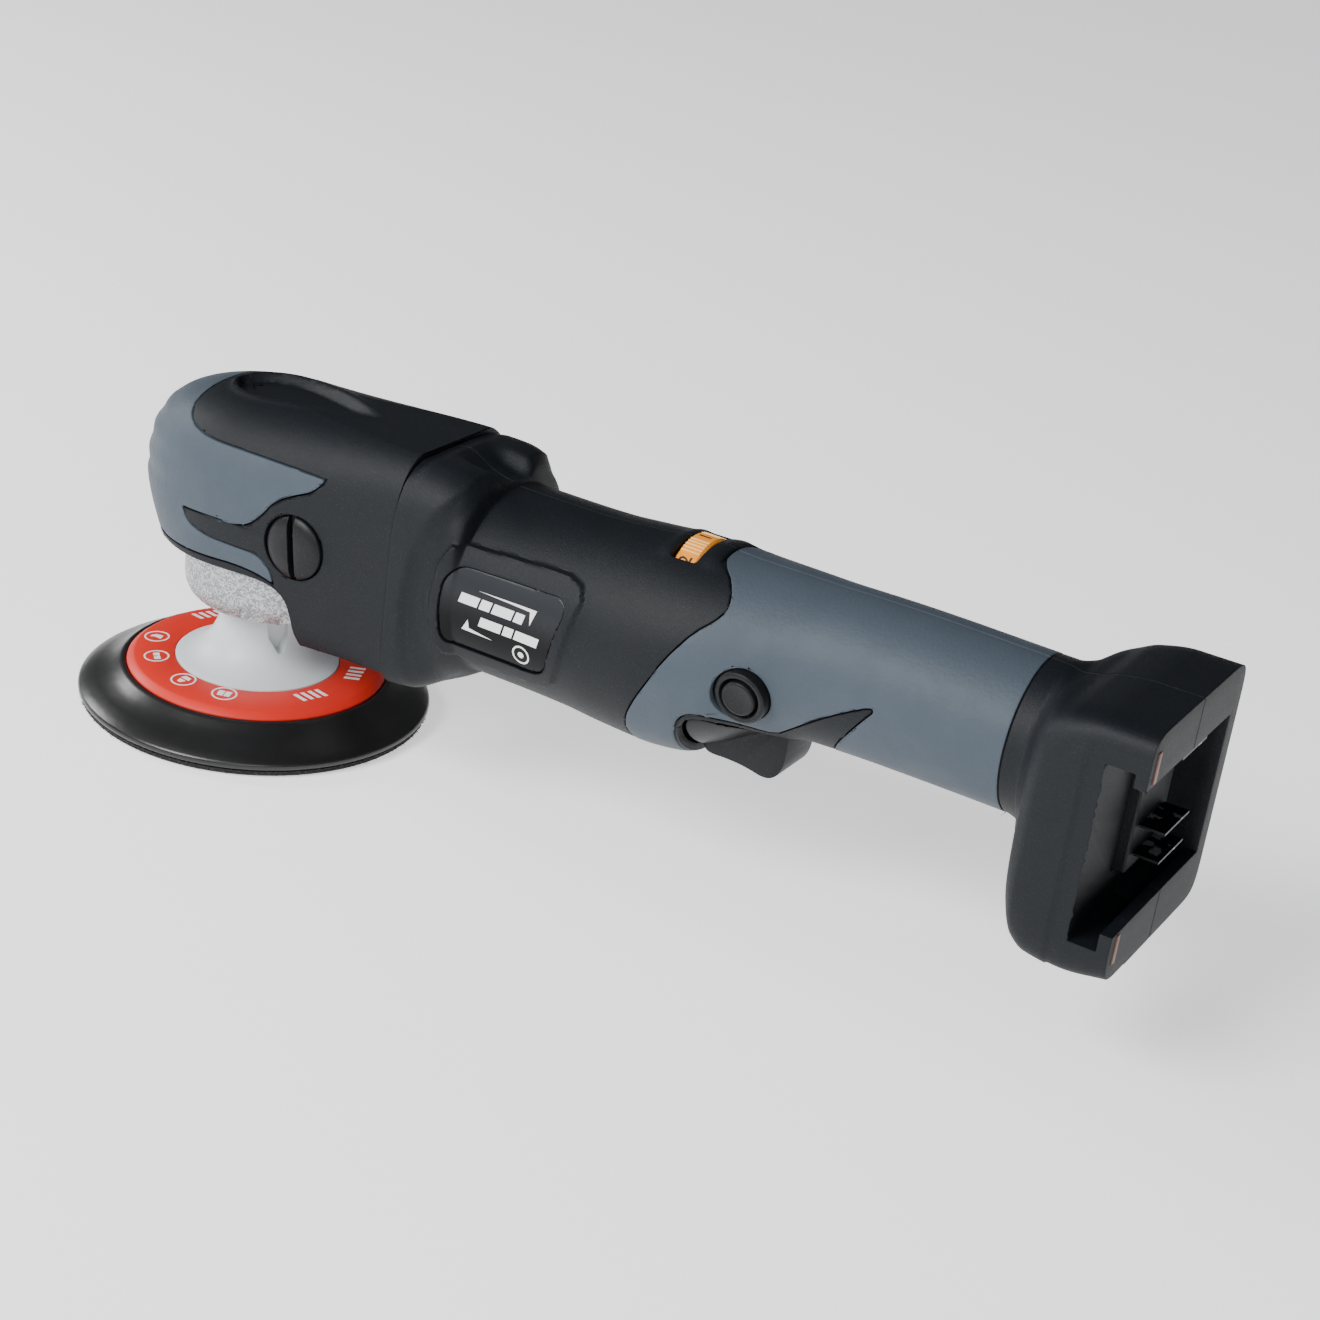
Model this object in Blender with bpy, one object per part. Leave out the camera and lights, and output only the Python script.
"""Cordless dual action polisher, built piece by piece.

Frame: X runs from the spindle's axis back to the battery foot, Z is up, and Z = 0 is the face of
the pad that carries the polishing sponge.  The operator's left is -Y.  All sizes here are in
millimetres; MM turns them into Blender's metres.
"""
import math

import bpy
import bmesh
from mathutils import Matrix, Vector

MM = 0.001
GAP = 0.3                     # clearance left between two pieces that touch on the real machine

# Pad
ORBIT = 6.0                   # offset of the pad's axis from the spindle, half of a 12 mm throw
PAD_R = 62.5                  # 125 mm backing plate
RING_R = 46.0                 # printed red ring
HUB_R = 29.0                  # light grey hub where it meets the ring
KEY_HOLE_R = 3.2              # lets a hex key through to the pad screw

# Head
SEAM_X = 70.0                 # joint between head cover and motor housing
HEAD_TOP_Z = 119.0
HEAD_REAR_RISE = 2.0          # extra height of the head's top at the seam
HEAD_WAIST_Z = 83.0           # height where the head is widest
HEAD_LIP_Z = 62.5             # lower edge of the head at the front
HEAD_LENGTH = 52.0            # from the spindle to the nose at the waist
HEAD_HALF_WIDTH = 37.0
COVER_WALL = 2.8
BUMPER_WALL = 2.2
GEAR_CASE_R = 32.0
GEAR_CASE_LOW_Z = 43.0
PLUG_X = 32.5                 # covers of the side handle threads
PLUG_Z = 80.5
PLUG_R = 11.0

# Drive
MOTOR_Z = 80.5                # motor axis, and apex height of the bevel gears
CROWN_TEETH = 30
PINION_TEETH = 10
CROWN_R = 20.0                # pitch radius of the crown gear
PINION_R = CROWN_R * PINION_TEETH / CROWN_TEETH

# Handle
WALL = 2.6
GRIP_SKIN = 2.2
BADGE_WALL = 1.2
GRIP_END_X = 284.0
FOOT_BACK_X = 332.0
FOOT_HALF = 38.3
BUTTON_X = 199.5
BUTTON_Z = 83.0
DIAL_X = 165.5
DIAL_Z = 100.8
DIAL_R = 16.2
TRIGGER_PIVOT_X = 184.0
TRIGGER_END_X = 209.4
TRIGGER_PIVOT_Z = 66.0

# Battery pocket, open to the left and to the back between two hooked rails
POCKET_FLOOR_X = 319.0
RAIL_LIP_X = 328.0
RAIL_LOW_Z = 51.0
RAIL_TOP_Z = 108.3
LIP_LOW_Z = 57.0
LIP_TOP_Z = 104.0
POCKET_END_Y = 31.0

X_AXIS = Vector((1, 0, 0))
Y_AXIS = Vector((0, 1, 0))
Z_AXIS = Vector((0, 0, 1))


# ---------------------------------------------------------------- materials and objects

def material(name, colour, roughness, metallic=0.0):
    mat = bpy.data.materials.new(name)
    mat.use_nodes = True
    shader = mat.node_tree.nodes["Principled BSDF"]
    shader.inputs["Base Color"].default_value = (*colour, 1)
    shader.inputs["Roughness"].default_value = roughness
    shader.inputs["Metallic"].default_value = metallic
    return mat


FINISHES = {
    "black_plastic": ((0.012, 0.013, 0.015), 0.5, 0.0),
    "gloss_plate": ((0.01, 0.01, 0.012), 0.12, 0.0),
    "grey_rubber": ((0.09, 0.105, 0.12), 0.55, 0.0),
    "black_rubber": ((0.01, 0.01, 0.011), 0.35, 0.0),
    "red_ring": ((0.55, 0.02, 0.012), 0.45, 0.0),
    "light_grey_plastic": ((0.6, 0.63, 0.65), 0.4, 0.0),
    "orange_plastic": ((0.9, 0.33, 0.03), 0.4, 0.0),
    "hook_fabric": ((0.02, 0.02, 0.022), 0.9, 0.0),
    "cast_alloy": ((0.5, 0.5, 0.51), 0.45, 0.9),
    "steel": ((0.55, 0.55, 0.56), 0.25, 1.0),
    "copper": ((0.6, 0.25, 0.12), 0.35, 1.0),
    "circuit_board": ((0.02, 0.12, 0.05), 0.5, 0.0),
}


def own_material(obj, finish):
    colour, roughness, metallic = FINISHES[finish]
    obj.data.materials.clear()
    obj.data.materials.append(material(obj.name + "_finish", colour, roughness, metallic))


def make(name, bm, finish):
    """Turn a bmesh in millimetres into a named object in metres, faces out."""
    bmesh.ops.remove_doubles(bm, verts=bm.verts, dist=0.001)
    bmesh.ops.recalc_face_normals(bm, faces=bm.faces)
    bmesh.ops.scale(bm, vec=(MM, MM, MM), verts=bm.verts)
    mesh = bpy.data.meshes.new(name)
    bm.to_mesh(mesh)
    bm.free()
    mesh.shade_smooth()
    mesh.set_sharp_from_angle(angle=math.radians(35))
    obj = bpy.data.objects.new(name, mesh)
    bpy.context.collection.objects.link(obj)
    if finish:
        own_material(obj, finish)
    else:
        obj.hide_render = True
        obj.display_type = "WIRE"
    return obj


# ---------------------------------------------------------------- basic shapes

def loft(name, rings, finish=None):
    """Skin a row of rings that have the same number of points, capped at both ends."""
    bm = bmesh.new()
    first_cap = face = bm.faces.new([bm.verts.new(p) for p in rings[0]])
    for ring in rings[1:]:
        result = bmesh.ops.extrude_face_region(bm, geom=[face])
        if face is not first_cap:
            bmesh.ops.delete(bm, geom=[face], context="FACES_ONLY")
        face = next(f for f in result["geom"] if isinstance(f, bmesh.types.BMFace))
        for vert, point in zip(face.verts, ring):
            vert.co = point
    return make(name, bm, finish)


def prism(name, outline, low, high, finish=None, along="Y"):
    """Extrude an outline: given in XZ and pushed along Y, in XY along Z, or in YZ along X."""
    place = {"Y": lambda a, b: (a, low, b), "Z": lambda a, b: (a, b, low), "X": lambda a, b: (low, a, b)}
    step = {"Y": (0, high - low, 0), "Z": (0, 0, high - low), "X": (high - low, 0, 0)}
    bm = bmesh.new()
    face = bm.faces.new([bm.verts.new(place[along](a, b)) for a, b in outline])
    result = bmesh.ops.extrude_face_region(bm, geom=[face])
    moved = [v for v in result["geom"] if isinstance(v, bmesh.types.BMVert)]
    bmesh.ops.translate(bm, vec=step[along], verts=moved)
    return make(name, bm, finish)


def box(name, low, high, finish=None, bevel=0.0):
    bm = bmesh.new()
    bmesh.ops.create_cube(bm, size=1)
    size = [b - a for a, b in zip(low, high)]
    bmesh.ops.scale(bm, vec=size, verts=bm.verts)
    bmesh.ops.translate(bm, vec=[(a + b) / 2 for a, b in zip(low, high)], verts=bm.verts)
    if bevel:
        bmesh.ops.bevel(bm, geom=bm.edges, offset=bevel, segments=1, affect="EDGES")
    return make(name, bm, finish)


def turned(name, profile, centre, axis=Z_AXIS, steps=32, finish=None):
    """Spin a closed profile of (radius, height along the axis) points about the axis."""
    turn = Z_AXIS.rotation_difference(axis).to_matrix()
    bm = bmesh.new()
    verts = [bm.verts.new(turn @ Vector((r, 0, h))) for r, h in profile]
    edges = [bm.edges.new((a, b)) for a, b in zip(verts, verts[1:] + verts[:1])]
    bmesh.ops.spin(bm, geom=verts + edges, cent=(0, 0, 0), axis=axis, angle=2 * math.pi, steps=steps)
    bmesh.ops.translate(bm, vec=centre, verts=bm.verts)
    bmesh.ops.remove_doubles(bm, verts=bm.verts, dist=0.001)
    on_axis = [e for e in bm.edges if e.is_wire]
    bmesh.ops.delete(bm, geom=on_axis, context="EDGES")
    return make(name, bm, finish)


def rod(name, centre, radius, low, high, axis=Z_AXIS, steps=24, finish=None, chamfer=0.0):
    """Solid round bar between two heights along its axis, with optional chamfered ends."""
    profile = [(0, low), (radius - chamfer, low), (radius, low + chamfer)]
    profile += [(radius, high - chamfer), (radius - chamfer, high), (0, high)]
    if not chamfer:
        profile = [(0, low), (radius, low), (radius, high), (0, high)]
    return turned(name, profile, centre, axis, steps, finish)


def tube(name, centre, inner, outer, low, high, axis=Z_AXIS, steps=24, finish=None):
    profile = [(inner, low), (outer, low), (outer, high), (inner, high)]
    return turned(name, profile, centre, axis, steps, finish)


def boolean(obj, other, operation):
    mod = obj.modifiers.new(operation.lower() + "_" + other.name, "BOOLEAN")
    mod.operation = operation
    mod.solver = "EXACT"
    mod.object = other
    return obj


def cut(obj, *others):
    for other in others:
        boolean(obj, other, "DIFFERENCE")
    return obj


def join(obj, *others):
    for other in others:
        boolean(obj, other, "UNION")
    return obj


def keep(obj, other):
    return boolean(obj, other, "INTERSECT")


def set_origin(obj, point):
    """Move the object's origin, leaving its shape where it is."""
    offset = Vector(point) * MM
    obj.data.transform(Matrix.Translation(-offset))
    obj.location = offset


# ---------------------------------------------------------------- outer surfaces

def body_ring(x, mid, wide, up, down, top_power, low_power, count=24):
    """Cross-section of the handle at x: a rounded square, with its own power above and below."""
    ring = []
    for i in range(count):
        angle = 2 * math.pi * i / count
        s, c = math.sin(angle), -math.cos(angle)
        power, high = (top_power, up) if c > 0 else (low_power, down)
        y = math.copysign(abs(s) ** (2 / power), s) * wide
        z = math.copysign(abs(c) ** (2 / power), c) * high
        ring.append(Vector((x, y, mid + z)))
    return ring


# x, middle height, half width, height above and below the middle, squareness above and below
BODY_STATIONS = (
    (SEAM_X, 80.5, 33.0, 39.8, 39.0, 3.9, 7.0),
    (82.0, 80.5, 33.0, 39.6, 38.0, 3.9, 6.0),
    (90.0, 80.4, 32.8, 39.0, 34.9, 3.4, 3.4),
    (93.5, 80.3, 32.6, 37.0, 33.4, 2.8, 2.4),
    (95.5, 80.2, 32.4, 32.6, 32.4, 2.0, 2.0),
    (116.0, 80.2, 32.4, 32.7, 32.4, 2.0, 2.0),
    (131.0, 80.0, 32.9, 33.2, 32.4, 2.0, 2.0),
    (146.0, 79.7, 33.9, 34.8, 33.0, 2.0, 2.0),
    (162.0, 80.1, 34.4, 36.0, 34.0, 2.0, 2.0),
    (173.0, 81.4, 33.7, 35.0, 34.4, 2.0, 2.0),
    (186.0, 84.2, 31.6, 31.9, 32.4, 2.0, 2.0),
    (200.0, 88.0, 28.3, 28.3, 28.2, 2.0, 2.0),
    (219.0, 91.0, 25.2, 25.6, 25.3, 2.0, 2.0),
    (246.0, 91.5, 25.0, 25.6, 25.0, 2.0, 2.0),
    (GRIP_END_X, 91.3, 24.9, 25.4, 24.8, 2.0, 2.0),
    (290.0, 91.0, 25.4, 25.6, 26.6, 2.0, 2.0),
    (294.0, 87.0, 30.0, 28.8, 31.5, 2.8, 2.8),
    (296.6, 82.0, 35.5, 34.0, 36.0, 4.6, 4.6),
    (301.0, 80.4, FOOT_HALF - 0.2, 36.6, 40.2, 7.0, 7.0),
    (306.0, 79.8, FOOT_HALF, 39.0, 41.6, 9.0, 9.0),
    (318.0, 79.5, FOOT_HALF, 40.8, 41.6, 12.0, 12.0),
    (FOOT_BACK_X, 80.2, FOOT_HALF, 40.2, 40.2, 12.0, 12.0),
)


def body_loft(name, inset, first_x=None, last_x=None, finish=None):
    """The handle's outer surface moved inwards by inset, stopped short of an end if asked."""
    rings = []
    for x, mid, wide, up, down, top, low in BODY_STATIONS:
        if x == SEAM_X and first_x is not None:
            x = first_x
        if last_x is not None and x > last_x:
            x = last_x
        rings.append(body_ring(x, mid, wide - inset, up - inset, down - inset, top, low))
        if x == last_x:
            break
    return loft(name, rings, finish)


def dome(z):
    """How far the head has closed in at height z: 1 at its waist, 0 at its top."""
    if z <= HEAD_WAIST_Z:
        return 1.0
    rise = min(1.0, (z - HEAD_WAIST_Z) / (HEAD_TOP_Z + 0.4 - HEAD_WAIST_Z))
    return (1 - rise ** 2.8) ** (1 / 2.75)


def taper(z, amount):
    """How much the head has drawn in at height z below its waist."""
    return amount * (max(0.0, HEAD_WAIST_Z - z) / 24) ** 1.5


def seam_half_width(z):
    """Half width of the handle's first cross-section at height z."""
    _, mid, wide, up, down, top, low = BODY_STATIONS[0]
    power, high = (top, up) if z > mid else (low, down)
    return wide * max(0.0, 1 - min(1.0, abs(z - mid) / high) ** power) ** (1 / power)


def head_ring(z, inset, rear_x, front_steps=14, side_steps=4):
    """Plan outline of the head at height z: a round nose and sides that run to the seam."""
    length = HEAD_LENGTH * dome(z) - taper(z, 9.6) - inset
    width = HEAD_HALF_WIDTH * dome(z) - taper(z, 2.5) - inset
    rear = max(seam_half_width(z), 6.0) - inset
    left = []
    for i in range(side_steps, 0, -1):
        x = rear_x * i / side_steps
        share = i / side_steps
        blend = share * share * (3 - 2 * share)
        left.append((x, width + (rear - width) * blend))
    nose = []
    for i in range(front_steps + 1):
        angle = math.pi / 2 + math.pi * i / front_steps
        nose.append((length * math.cos(angle), width * math.sin(angle)))
    outline = left + nose + [(x, -y) for x, y in reversed(left)]
    return [Vector((x, y, z)) for x, y in outline]


def rear_rise(x):
    """The head's top climbs evenly towards the seam."""
    return HEAD_REAR_RISE * x / SEAM_X


HEAD_LEVELS = (43.0, 46.0, 53.0, 62.5, 72.0, HEAD_WAIST_Z, 95.0, 104.0, 111.0, 115.5, 118.0, HEAD_TOP_Z)


def head_loft(name, inset, finish=None, rear_x=SEAM_X - 0.4):
    """The head's outer surface moved inwards by inset, and down by it at the top."""
    drop = inset / (HEAD_TOP_Z - HEAD_WAIST_Z)
    rings = []
    for z in HEAD_LEVELS:
        height = max(0.0, z - HEAD_WAIST_Z) / (HEAD_TOP_Z - HEAD_WAIST_Z)
        level = z - max(0.0, z - HEAD_WAIST_Z) * drop
        ring = head_ring(z, inset, rear_x)
        rings.append([Vector((p.x, p.y, level + rear_rise(p.x) * height ** 4)) for p in ring])
    return loft(name, rings, finish)


# ---------------------------------------------------------------- head

NOSE_X = -70.0                # ahead of the nose, for cutters

# Side view of the grey bumper: nose, upper edge back to the tip, stepped lower edge of the
# upper lobe, the dark lens, and the strip under it.
BUMPER_OUTLINE = (
    (NOSE_X, 64.8), (-26.0, 64.8), (-4.0, 66.4), (9.0, 67.4), (18.0, 66.8), (24.6, 65.0),
    (23.0, 70.0), (18.0, 73.6), (8.0, 73.6), (-4.0, 73.8), (-12.4, 76.0), (-15.2, 81.2),
    (-1.5, 82.0), (8.3, 82.0), (14.0, 83.4), (19.5, 88.7), (23.2, 94.2), (29.5, 98.0),
    (37.6, 101.6), (41.0, 106.2), (21.0, 106.6), (-9.0, 106.6), (-18.0, 108.2), (-23.0, 111.5),
    (-24.0, 116.0), (-22.0, 124.0), (NOSE_X, 124.0))


def grown(outline, amount):
    """Outline moved outwards by amount, corner by corner; the outline runs anticlockwise."""
    count = len(outline)
    moved = []
    for i, (x, z) in enumerate(outline):
        before = Vector(outline[i]) - Vector(outline[i - 1])
        after = Vector(outline[(i + 1) % count]) - Vector(outline[i])
        normal_a = Vector((before.y, -before.x)).normalized()
        normal_b = Vector((after.y, -after.x)).normalized()
        bisector = (normal_a + normal_b).normalized()
        reach = amount / max(0.5, bisector.dot(normal_a))
        moved.append((x + bisector.x * reach, z + bisector.y * reach))
    return moved


def head_cover():
    cover = head_loft("head_cover", 0.0, "black_plastic")
    hollow = head_loft("head_inside", COVER_WALL, rear_x=SEAM_X + 4)
    above_lip = box("head_inside_above_lip", (NOSE_X, -60, HEAD_LIP_Z + 2.6), (90, 60, 130))
    half = seam_half_width(60.0) - COVER_WALL
    skirt_inside = box("skirt_inside", (17, -half, 30), (80, half, 70))
    throat = rod("gear_case_throat", (0, 0, 0), GEAR_CASE_R + GAP, 30, 72, steps=36)
    join(keep(hollow, above_lip), skirt_inside, throat)
    arch = prism("front_arch", (
        (NOSE_X, 30), (35.0, 30), (34.6, 44.6), (32.6, 49.0), (31.6, 55.0), (29.4, 60.4),
        (25.0, 63.4), (18.0, 64.6), (4.0, 64.0), (-20.0, HEAD_LIP_Z), (NOSE_X, HEAD_LIP_Z)), -60, 60)
    bumper_room = prism("bumper_room", grown(BUMPER_OUTLINE, GAP), -60, 60)
    cut(bumper_room, head_loft("under_bumper", BUMPER_WALL + GAP))
    plug_bore = rod("plug_bore", (PLUG_X, 0, PLUG_Z), PLUG_R + GAP, -60, 60, Y_AXIS, 28)
    scoop_front, scoop_half, scoop_tip = -2.0, 12.5, 38.0
    scoop_outline = [(scoop_front + scoop_half * math.cos(a), scoop_half * math.sin(a))
                     for a in [math.radians(70 + 20 * i) for i in range(12)]]
    scoop_outline.append((scoop_tip, 0.0))
    scoop = prism("thumb_scoop", scoop_outline, HEAD_TOP_Z - 1.6, 130, along="Z")
    screw_hole = rod("cover_screw_hole", (COVER_SCREW_X, 0, 0), 1.7, 55, 70, steps=12)
    cut(cover, hollow, arch, bumper_room, plug_bore, scoop, screw_hole)


COVER_SCREW_X = -36.5


def cover_screw():
    turned("cover_screw", [(0, 57.0), (2.6, 57.0), (3.0, 57.6), (3.0, 59.6), (1.4, 59.6), (1.4, 70.0),
                           (0, 70.0)], (COVER_SCREW_X, 0, HEAD_LIP_Z - 60.0), steps=14, finish="steel")


def bumper():
    skin = head_loft("bumper", 0.0, "grey_rubber")
    hollow = head_loft("bumper_hollow", BUMPER_WALL)
    region = prism("bumper_region", BUMPER_OUTLINE, -60, 60)
    keep(skin, region)
    cut(skin, hollow)


def side_plug(name, side):
    """Slotted round cover over the thread for a side handle."""
    face = 36.4
    profile = [(0, face - 7), (PLUG_R - 2, face - 7), (PLUG_R, face - 5), (PLUG_R, face - 0.8),
               (PLUG_R - 1.2, face), (0, face + 0.4)]
    plug = turned(name, profile, (PLUG_X, 0, PLUG_Z), Y_AXIS * side, 28, "black_plastic")
    low, high = sorted((side * (face - 1.8), side * (face + 5)))
    slot = box(name + "_slot", (PLUG_X - 1.1, low, PLUG_Z - 20), (PLUG_X + 1.1, high, PLUG_Z + 20))
    cut(plug, slot)


def gear_case():
    """Cast housing of the gears: a pot open below, with a neck towards the motor."""
    wall = 3.0
    rim_wall = 6.6
    pot = turned("gear_case", [
        (0, 108.0), (14.0, 108.0), (15.0, 106.0), (27.0, 102.5), (30.5, 98.0), (31.4, 92.0),
        (31.4, 64.0), (GEAR_CASE_R, 62.0), (GEAR_CASE_R, GEAR_CASE_LOW_Z + 6.5),
        (GEAR_CASE_R - 0.9, GEAR_CASE_LOW_Z + 3.0), (GEAR_CASE_R - 2.8, GEAR_CASE_LOW_Z + 0.9),
        (GEAR_CASE_R - 5.0, GEAR_CASE_LOW_Z), (0, GEAR_CASE_LOW_Z)],
        (0, 0, 0), steps=36, finish="cast_alloy")
    neck = rod("gear_case_neck", (0, 0, MOTOR_Z), 25.0, 0, SEAM_X - 2.0, X_AXIS, 32)
    join(pot, neck)
    inner = GEAR_CASE_R - wall
    cavity = turned("gear_cavity", [(0, 30), (GEAR_CASE_R - rim_wall, 30), (GEAR_CASE_R - rim_wall, 56.0),
                                    (inner, 57.0), (inner, 92), (inner - 4, 98.4), (0, 98.4)],
                    (0, 0, 0), steps=36)
    neck_bore = rod("neck_bore", (0, 0, MOTOR_Z), 21.5, 5, SEAM_X + 5, X_AXIS, 28)
    bearing_seat = rod("upper_bearing_seat", (0, 0, 0), 9.5 + GAP, 98, 105.0, steps=24)
    cut(pot, join(cavity, neck_bore, bearing_seat))
    for k, angle in enumerate((-67, -41, 41, 67)):
        notch = box("rim_notch_%d" % k, (GEAR_CASE_R - 3.5, -4.4, GEAR_CASE_LOW_Z - 3),
                    (GEAR_CASE_R + 3, 4.4, GEAR_CASE_LOW_Z + 5.6))
        notch.rotation_euler = (0, 0, math.radians(angle))
        cut(pot, notch)


def gear_case_flange():
    """Plate between gear case and motor that holds the motor's front bearing."""
    plate = turned("gear_case_flange", [
        (11.0 + GAP, SEAM_X - 1.6), (25.0, SEAM_X - 1.6), (25.0, SEAM_X + 4.4), (16.0, SEAM_X + 4.4),
        (16.0, SEAM_X + 12.0), (11.0 + GAP, SEAM_X + 12.0)], (0, 0, MOTOR_Z), X_AXIS, 24, "cast_alloy")
    return plate


# ---------------------------------------------------------------- bevel gears

FACE_SHARE = 0.68             # inner end of a tooth, as a share of the cone's length


def bevel_gear(name, teeth, pitch_r, other_r, to_world, body_profile, start_angle):
    """Straight bevel gear: a turned body and one wedge per tooth, tapering towards the apex.

    In the gear's own frame the apex is the origin and the gear lies along its local Z axis.
    """
    gear = turned(name, body_profile, (0, 0, 0), steps=24, finish="steel")
    cone = math.hypot(pitch_r, other_r)
    along = Vector((pitch_r, 0, other_r)) / cone
    outward = Vector((other_r, 0, -pitch_r)) / cone
    pitch = 2 * math.pi * pitch_r / teeth
    section = ((-0.27, -0.42), (0.27, -0.42), (0.115, 0.2), (-0.115, 0.2))
    bm = bmesh.new()
    for i in range(teeth):
        spin = Matrix.Rotation(start_angle + 2 * math.pi * i / teeth, 3, "Z")
        ends = []
        for share in (FACE_SHARE, 1.0):
            middle = along * cone * share
            ends.append([bm.verts.new(spin @ (middle + outward * rise * pitch * share
                                              + Vector((0, half * pitch * share, 0))))
                         for half, rise in section])
        inner, outer = ends
        bm.faces.new(inner)
        bm.faces.new(reversed(outer))
        for k in range(4):
            bm.faces.new((inner[k], outer[k], outer[k - 1], inner[k - 1]))
    teeth_mesh = make(name + "_teeth", bm, None)
    place = Matrix.Translation(Vector((0, 0, MOTOR_Z)) * MM) @ to_world.to_4x4()
    for obj in (gear, teeth_mesh):
        obj.data.transform(place)
    return join(gear, teeth_mesh)


def crown_gear():
    downwards = Matrix(((1, 0, 0), (0, -1, 0), (0, 0, -1)))
    profile = [(5.3, 5.2), (12.5, 5.2), (19.9, 8.2), (21.0, 9.4), (21.0, 12.5), (5.3, 12.5)]
    return bevel_gear("crown_gear", CROWN_TEETH, CROWN_R, PINION_R, downwards, profile, 0.0)


def pinion():
    backwards = Matrix(((0, 0, 1), (0, 1, 0), (-1, 0, 0)))
    profile = [(2.6, 13.2), (3.45, 13.2), (5.3, 20.6), (6.4, 21.2), (6.4, 24.5), (2.6, 24.5)]
    half_pitch = math.pi / PINION_TEETH
    return bevel_gear("pinion", PINION_TEETH, PINION_R, CROWN_R, backwards, profile, half_pitch)


# ---------------------------------------------------------------- spindle and pad

def bearing(name, centre, inner, outer, low, high, axis=Z_AXIS):
    """Ball bearing as one ring, with a shallow groove in one face where its shield sits."""
    groove = 0.6
    profile = [(inner, low), ((inner + outer) / 2, low + groove), (outer, low), (outer, high), (inner, high)]
    return turned(name, profile, centre, axis, 20, "steel")


def spindle_group():
    turned("spindle", [(0, 56.3), (9.0, 56.3), (9.0, 59.6), (7.5, 59.6), (7.5, 67.7), (5.0, 67.7),
                       (5.0, 97.6), (4.0, 97.6), (4.0, 104.4), (0, 104.4)], (0, 0, 0), steps=18, finish="steel")
    crown_gear()
    heavy_r, light_r = 24.6, 20.6
    outline = []
    for i in range(24):
        angle = math.radians(-90 + 15 * i)
        radius = heavy_r if math.cos(angle) > -0.01 else light_r
        outline.append((radius * math.cos(angle), radius * math.sin(angle)))
    weight = prism("counterweight", outline, 43.2, 56.0, "cast_alloy", along="Z")
    cut(weight, rod("pad_bearing_bore", (-ORBIT, 0, 0), 12.0 + GAP, 35, 53.4, steps=28))


def pad_group():
    centre = (-ORBIT, 0, 0)
    bearing("pad_bearing_lower", centre, 6.3, 12.0, 43.4, 48.0)
    bearing("pad_bearing_upper", centre, 6.3, 12.0, 48.4, 53.0)
    turned("pad_arbor", [(2.5, 13.4), (6.0, 13.4), (6.0, 42.0), (8.6, 42.0), (8.6, 43.2), (6.0, 43.2),
                         (6.0, 52.8), (0, 52.8), (0, 27.0), (2.5, 27.0)], centre, steps=18, finish="steel")
    hub = turned("pad_hub", [(2.9, 9.9), (HUB_R - 0.6, 9.9), (HUB_R, 16.5), (26.0, 17.6), (22.2, 19.4),
                             (19.0, 22.0), (16.6, 25.4), (15.0, 29.4), (14.2, 34.0), (14.0, 41.8),
                             (6.3, 41.8), (6.3, 13.0), (2.9, 13.0)], centre, steps=28,
                 finish="light_grey_plastic")
    for k in range(3):
        pocket = prism("hub_pocket_%d" % k, ((11.0, -2.0), (20.0, -3.2), (20.0, 3.2), (11.0, 2.0)),
                       27.0, 40.0, along="Z")
        pocket.location = Vector(centre) * MM
        pocket.rotation_euler = (0, 0, math.radians(-25 + 120 * k))
        cut(hub, pocket)
    turned("pad_ring", [(HUB_R + GAP, 12.9), (RING_R - 0.4, 12.9), (RING_R, 13.6), (RING_R - 1.6, 15.4),
                        (HUB_R + GAP, 16.4)], centre, steps=40, finish="red_ring")
    turned("pad_body", [(5.6, 2.2), (PAD_R - 1.4, 2.2), (PAD_R, 4.0), (PAD_R - 0.8, 5.6), (55.5, 9.0),
                        (47.6, 13.6), (46.3, 13.2), (46.3, 12.6), (HUB_R - 0.2, 12.6), (HUB_R - 0.2, 9.6),
                        (5.6, 9.6)], centre, steps=40, finish="black_rubber")
    turned("hook_disc", [(KEY_HOLE_R, 0), (PAD_R - 1.3, 0), (PAD_R - 0.9, 1.9), (KEY_HOLE_R, 1.9)],
           centre, steps=40, finish="hook_fabric")
    tube("pad_washer", centre, 2.5, 5.2, 8.4, 9.6, finish="steel", steps=20)
    screw = turned("pad_screw", [(0, 4.2), (4.2, 4.2), (4.6, 4.7), (4.6, 8.1), (2.2, 8.1), (2.2, 25.0), (0, 25.0)],
                   centre, steps=20, finish="steel")
    socket = rod("pad_screw_socket", centre, 2.6, 3.0, 6.6, steps=6)
    cut(screw, socket)


def gear_case_bearings():
    bearing("spindle_upper_bearing", (0, 0, 0), 4.3, 9.5, 98.3, 104.6)
    bearing("spindle_lower_bearing", (0, 0, 0), 7.8, 14.0, 60.0, 67.4)
    turned("bearing_plate", [(12.0, 58.2), (28.7, 58.2), (28.7, 67.2), (14.3, 67.2), (14.3, 59.6), (12.0, 59.6)],
           (0, 0, 0), steps=36, finish="cast_alloy")


# ---------------------------------------------------------------- motor

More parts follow.
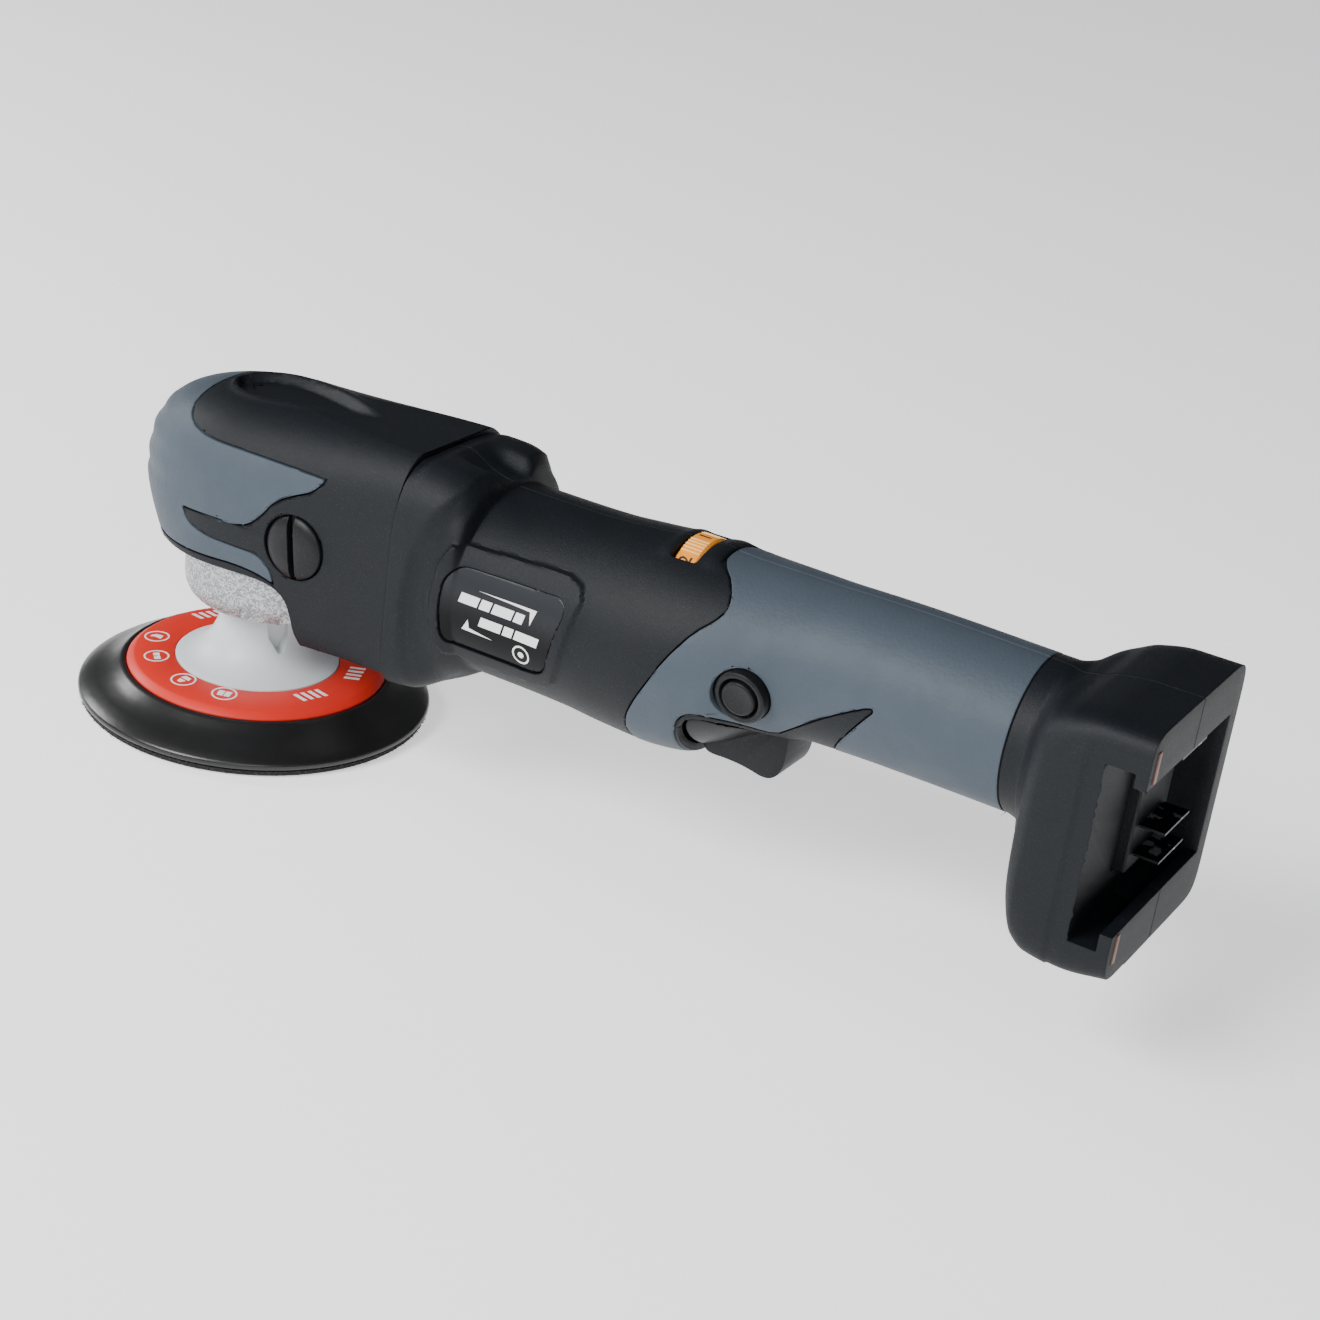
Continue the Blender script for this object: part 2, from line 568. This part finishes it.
def motor_group():
    centre = (0, 0, MOTOR_Z)
    turned("motor_shaft", [(0, 13.4), (2.3, 13.4), (2.3, 26.0), (4.0, 26.0), (4.0, 149.0), (0, 149.0)],
           centre, X_AXIS, 20, "steel")
    pinion()
    rotor = turned("rotor", [(4.3, 96), (11.0, 96), (14.4, 97.5), (14.4, 134.5), (11.0, 136), (4.3, 136)],
                   centre, X_AXIS, 24, "steel")
    fan = turned("fan", [(4.3, 84), (9.0, 84), (9.0, 91.2), (26.0, 91.2), (26.0, 92.4), (4.3, 92.4)],
                 centre, X_AXIS, 28, "black_plastic")
    blades = 9
    for k in range(blades):
        blade = box("fan_blade_%d" % k, (84.6, -0.7, 8.0), (91.6, 0.7, 25.4))
        blade.location = Vector(centre) * MM
        blade.rotation_euler = (2 * math.pi * k / blades, 0, 0)
        join(fan, blade)
    bearing("motor_front_bearing", centre, 4.3, 11.0, 73.0, 80.0, X_AXIS)
    bearing("motor_rear_bearing", centre, 4.3, 8.0, 141.0, 146.0, X_AXIS)
    stator = tube("stator", centre, 15.2, 27.0, 95.0, 137.0, X_AXIS, 30, "steel")
    slots = 6
    for k in range(slots):
        slot = box("stator_slot_%d" % k, (90, -3.4, 16.5), (142, 3.4, 23.0))
        slot.location = Vector(centre) * MM
        slot.rotation_euler = (2 * math.pi * k / slots, 0, 0)
        cut(stator, slot)
    turned("motor_end_bell", [(8.3, 138.6), (27.0, 138.6), (27.0, 141.6), (12.0, 141.6), (12.0, 147.6),
                              (8.3, 147.6)], centre, X_AXIS, 24, "black_plastic")
    return rotor


# ---------------------------------------------------------------- handle shells

# Side view of the grey grip.  Left of it is the motor section's black skin; the bay along its
# lower edge leaves the black frame of the trigger and the fin behind it.
GRIP_OUTLINE = (
    (GRIP_END_X, 60.0), (GRIP_END_X, 125.0), (178.0, 125.0), (177.0, 115.4), (181.0, 114.4),
    (187.0, 110.2), (188.0, 106.2), (181.0, 98.2), (174.2, 88.0), (166.3, 72.5), (160.6, 61.0),
    (160.6, 40.0), (177.0, 40.0), (177.6, 58.8), (179.6, 68.0), (184.2, 72.4), (193.7, 72.6),
    (207.7, 69.6), (223.3, 81.4), (241.0, 92.6), (242.0, 91.6), (228.5, 73.0), (223.0, 62.0))

HOUSING_SCREWS = ((79.0, 111.6), (79.0, 50.6), (152.0, 106.6), (228.0, 105.2), (311.5, 112.0), (311.5, 47.5))
BOSS_R = 4.6
SCREW_SEAT_Y = 12.0


def screw_bodies(name, radius, low, high, steps=12):
    """One bar along Y at each housing screw, all in a single cutter."""
    bm = bmesh.new()
    for x, z in HOUSING_SCREWS:
        turn = Matrix.Rotation(math.radians(-90), 4, "X")
        place = Matrix.Translation((x, (low + high) / 2, z)) @ turn
        bmesh.ops.create_cone(bm, cap_ends=True, segments=steps, radius1=radius, radius2=radius,
                              depth=high - low, matrix=place)
    return make(name, bm, None)


def battery_pocket():
    """Room for the battery's rail head: a mouth between the lips and a wider channel behind."""
    channel = prism("battery_channel", (
        (POCKET_FLOOR_X, RAIL_LOW_Z), (RAIL_LIP_X, RAIL_LOW_Z), (RAIL_LIP_X, LIP_LOW_Z),
        (340, LIP_LOW_Z), (340, LIP_TOP_Z), (RAIL_LIP_X, LIP_TOP_Z), (RAIL_LIP_X, RAIL_TOP_Z),
        (POCKET_FLOOR_X, RAIL_TOP_Z)), -60, POCKET_END_Y)
    return channel


def handle_cutters():
    """Everything that is taken out of both halves of the handle."""
    inside = body_loft("handle_inside", WALL, first_x=SEAM_X - 5, last_x=315.0)
    front = rod("front_opening", (0, 0, MOTOR_Z), 25.3, SEAM_X - 8, SEAM_X + 8, X_AXIS, 36)
    terminal_window = box("terminal_window", (312, -9.3, 61.7), (325, 19.3, 107.3))
    dial_window = box("dial_window", (DIAL_X - 4.6, -13.8, 106), (DIAL_X + 4.6, 13.8, 125))
    trigger_slot = box("trigger_slot", (178.4, -9.9, 40), (TRIGGER_END_X + 1.2, 9.9, 77))
    grip_room = prism("grip_room", grown(GRIP_OUTLINE, GAP), -60, 60)
    cut(grip_room, body_loft("under_grip", GRIP_SKIN + GAP))
    button_bore = rod("button_bore", BUTTON_CENTRE, 9.3, -8, 10, BUTTON_AXIS, 28)
    rail_clip_top = box("clip_recess_top", (330.9, -34.6, 104.5), (334, -31.4, 115.3))
    rail_clip_low = box("clip_recess_low", (330.9, -34.6, 46.0), (334, -31.4, 56.6))
    return [front, terminal_window, dial_window, trigger_slot, grip_room, button_bore, battery_pocket(),
            rail_clip_top, rail_clip_low, badge_room("badge_room_left", -1), badge_room("badge_room_right", 1)], inside


BUTTON_TILT = math.radians(10)
BUTTON_CENTRE = (BUTTON_X, -27.6, BUTTON_Z)
BUTTON_AXIS = Vector((0, -math.cos(BUTTON_TILT), -math.sin(BUTTON_TILT)))   # pointing out


def handle_half(name, side, cutters, inside, bosses, bores):
    half = body_loft(name, 0.0, first_x=SEAM_X, finish="black_plastic")
    cut(half, inside)
    join(half, bosses)
    low, high = (-80, GAP / 2) if side > 0 else (-GAP / 2, 80)
    other = box(name + "_other_side", (0, low, 0), (400, high, 200))
    cut(half, other, bores, *cutters)
    return half


def badge_prism(name, side, extra=0.0):
    """Badge outline on one side of the motor section, pushed along Y."""
    outline = ((95.0, 66.0), (128.0, 66.5), (131.5, 69.0), (136.0, 90.0), (134.0, 94.5), (96.5, 94.5),
               (92.0, 91.0), (90.5, 78.0), (92.5, 68.5))
    low, high = sorted((side * 18.0, side * 50.0))
    return prism(name, grown(outline, extra) if extra else outline, low, high)


def badge(name, side):
    """Plain plate that follows the motor section's side."""
    plate = body_loft(name, 0.1, finish="gloss_plate")
    cut(plate, body_loft(name + "_hollow", BADGE_WALL))
    keep(plate, badge_prism(name + "_outline", side))


def badge_room(name, side):
    room = badge_prism(name, side, GAP)
    return cut(room, body_loft(name + "_floor", BADGE_WALL + GAP))


def handle_shells():
    cutters, inside = handle_cutters()
    bosses = screw_bodies("screw_bosses", BOSS_R, -50, 50)
    keep(bosses, body_loft("boss_limit", 0.9))
    bores = screw_bodies("screw_bores", 1.7, -12, 60)
    heads = screw_bodies("screw_head_bores", 3.3, SCREW_SEAT_Y - GAP, 60)
    cutters.append(heads)
    handle_half("housing_left", -1, cutters, inside, bosses, bores)
    handle_half("housing_right", 1, cutters, inside, bosses, bores)
    for k, (x, z) in enumerate(HOUSING_SCREWS):
        head = SCREW_SEAT_Y
        turned("housing_screw_%d" % (k + 1), [(0, -9.0), (1.4, -9.0), (1.4, head), (2.9, head), (2.9, head + 1.6),
                                              (2.2, head + 2.4), (0, head + 2.4)],
               (x, 0, z), Y_AXIS, 10, "steel")


def grip(name, side):
    skin = body_loft(name, 0.0, finish="grey_rubber")
    cut(skin, body_loft(name + "_hollow", GRIP_SKIN))
    keep(skin, prism(name + "_region", GRIP_OUTLINE, -60, 60))
    low, high = (-80, GAP / 2) if side > 0 else (-GAP / 2, 80)
    other = box(name + "_other_side", (0, low, 0), (400, high, 200))
    slot = box(name + "_slot", (177.5, -9.9, 30), (TRIGGER_END_X + 1.2, 9.9, 60))
    bore = rod(name + "_bore", BUTTON_CENTRE, 9.3, -8, 10, BUTTON_AXIS, 28)
    cut(skin, other, slot, bore)


# ---------------------------------------------------------------- controls

def trigger_group():
    side = 9.4
    outline = ((179.4, 60.0), (179.8, 52.4), (183.0, 50.2), (190.0, 49.6), (197.0, 49.2), (202.5, 48.9),
               (206.4, 50.6), (208.8, 55.0), (209.4, 62.0), (208.6, 68.0), (205.0, 71.4), (184.0, 71.4),
               (179.8, 68.0))
    trigger = prism("trigger", outline, -side, side, "black_plastic")
    bevel = trigger.modifiers.new("soft_edges", "BEVEL")
    bevel.width = 0.9 * MM
    bevel.segments = 2
    bevel.limit_method = "ANGLE"
    bevel.angle_limit = math.radians(50)
    pivot = (TRIGGER_PIVOT_X, 0, TRIGGER_PIVOT_Z)
    cut(trigger, rod("trigger_bore", pivot, 1.9, -20, 20, Y_AXIS, 16))
    set_origin(trigger, pivot)
    rod("trigger_pin", pivot, 1.5, -14.5, 14.5, Y_AXIS, 16, "steel", chamfer=0.3)
    box("trigger_switch", (188, -7, 79.0), (212, 7, 92.0), "black_plastic", bevel=0.8)
    coil("trigger_spring", (pivot[0], 9.9, pivot[2]), 3.0, 0.45, 3.6, 3.5, Y_AXIS)


def coil(name, start, radius, wire, length, turns, axis, per_turn=9):
    """Wire wound round an axis, as a curve with a round section and closed ends."""
    curve = bpy.data.curves.new(name, "CURVE")
    curve.dimensions = "3D"
    curve.bevel_depth = wire * MM
    curve.bevel_resolution = 0
    curve.use_fill_caps = True
    spline = curve.splines.new("POLY")
    count = int(turns * per_turn) + 1
    spline.points.add(count - 1)
    turn = Z_AXIS.rotation_difference(axis).to_matrix()
    for i in range(count):
        angle = 2 * math.pi * i / per_turn
        local = Vector((radius * math.cos(angle), radius * math.sin(angle), length * i / (count - 1)))
        point = (Vector(start) + turn @ local) * MM
        spline.points[i].co = (*point, 1)
    obj = bpy.data.objects.new(name, curve)
    bpy.context.collection.objects.link(obj)
    own_material(obj, "steel")
    return obj


def lock_button_group():
    tube("lock_button_ring", BUTTON_CENTRE, 6.2, 9.0, -5.0, 1.7, BUTTON_AXIS, 32, "black_plastic")
    button = turned("lock_button", [(0, -13.0), (1.6, -13.0), (1.6, -4.5), (5.9, -4.5), (5.9, 1.5), (5.2, 2.3),
                                    (0, 2.6)], BUTTON_CENTRE, BUTTON_AXIS, 28, "black_plastic")
    set_origin(button, BUTTON_CENTRE)
    start = Vector(BUTTON_CENTRE) - BUTTON_AXIS * 9.6
    coil("lock_spring", start, 2.9, 0.4, 4.4, 3.5, BUTTON_AXIS)


def speed_dial_group():
    centre = (0, 0, DIAL_Z)
    dial = turned("speed_dial", [(2.4, DIAL_X - 4.0), (DIAL_R - 0.6, DIAL_X - 4.0), (DIAL_R, DIAL_X - 3.4),
                                 (DIAL_R, DIAL_X + 3.4), (DIAL_R - 0.6, DIAL_X + 4.0), (2.4, DIAL_X + 4.0)],
                  centre, X_AXIS, 32, "orange_plastic")
    set_origin(dial, (DIAL_X, 0, DIAL_Z))
    turned("speed_regulator", [(0, DIAL_X - 5.0), (2.1, DIAL_X - 5.0), (2.1, DIAL_X + 5.0), (7.5, DIAL_X + 5.0),
                               (7.5, DIAL_X + 12.0), (0, DIAL_X + 12.0)], centre, X_AXIS, 16, "black_plastic")
    box("control_board", (184, -13, 98.5), (240, 13, 100.2), "circuit_board")


def battery_terminals():
    box("terminal_block", (309, -9, 62), (322.6, 19, 107), "black_plastic", bevel=0.6)
    for name, z in (("signal", 102.0), ("positive", 77.0), ("negative", 67.5)):
        box("terminal_blade_" + name, (322.9, -5, z - 0.4), (331.0, 15, z + 0.4), "steel")
    box("rail_clip_top", (331.2, -34.2, 105.0), (332.4, -31.8, 115.0), "copper")
    box("rail_clip_bottom", (331.2, -34.2, 46.4), (332.4, -31.8, 56.2), "copper")


# ---------------------------------------------------------------- assembly

def main():
    for obj in list(bpy.data.objects):
        bpy.data.objects.remove(obj, do_unlink=True)
    head_cover()
    cover_screw()
    bumper()
    side_plug("side_plug_left", -1)
    side_plug("side_plug_right", 1)
    gear_case()
    gear_case_flange()
    gear_case_bearings()
    spindle_group()
    pad_group()
    motor_group()
    handle_shells()
    grip("grip_left", -1)
    grip("grip_right", 1)
    badge("badge_left", -1)
    badge("badge_right", 1)
    trigger_group()
    lock_button_group()
    speed_dial_group()
    battery_terminals()


main()
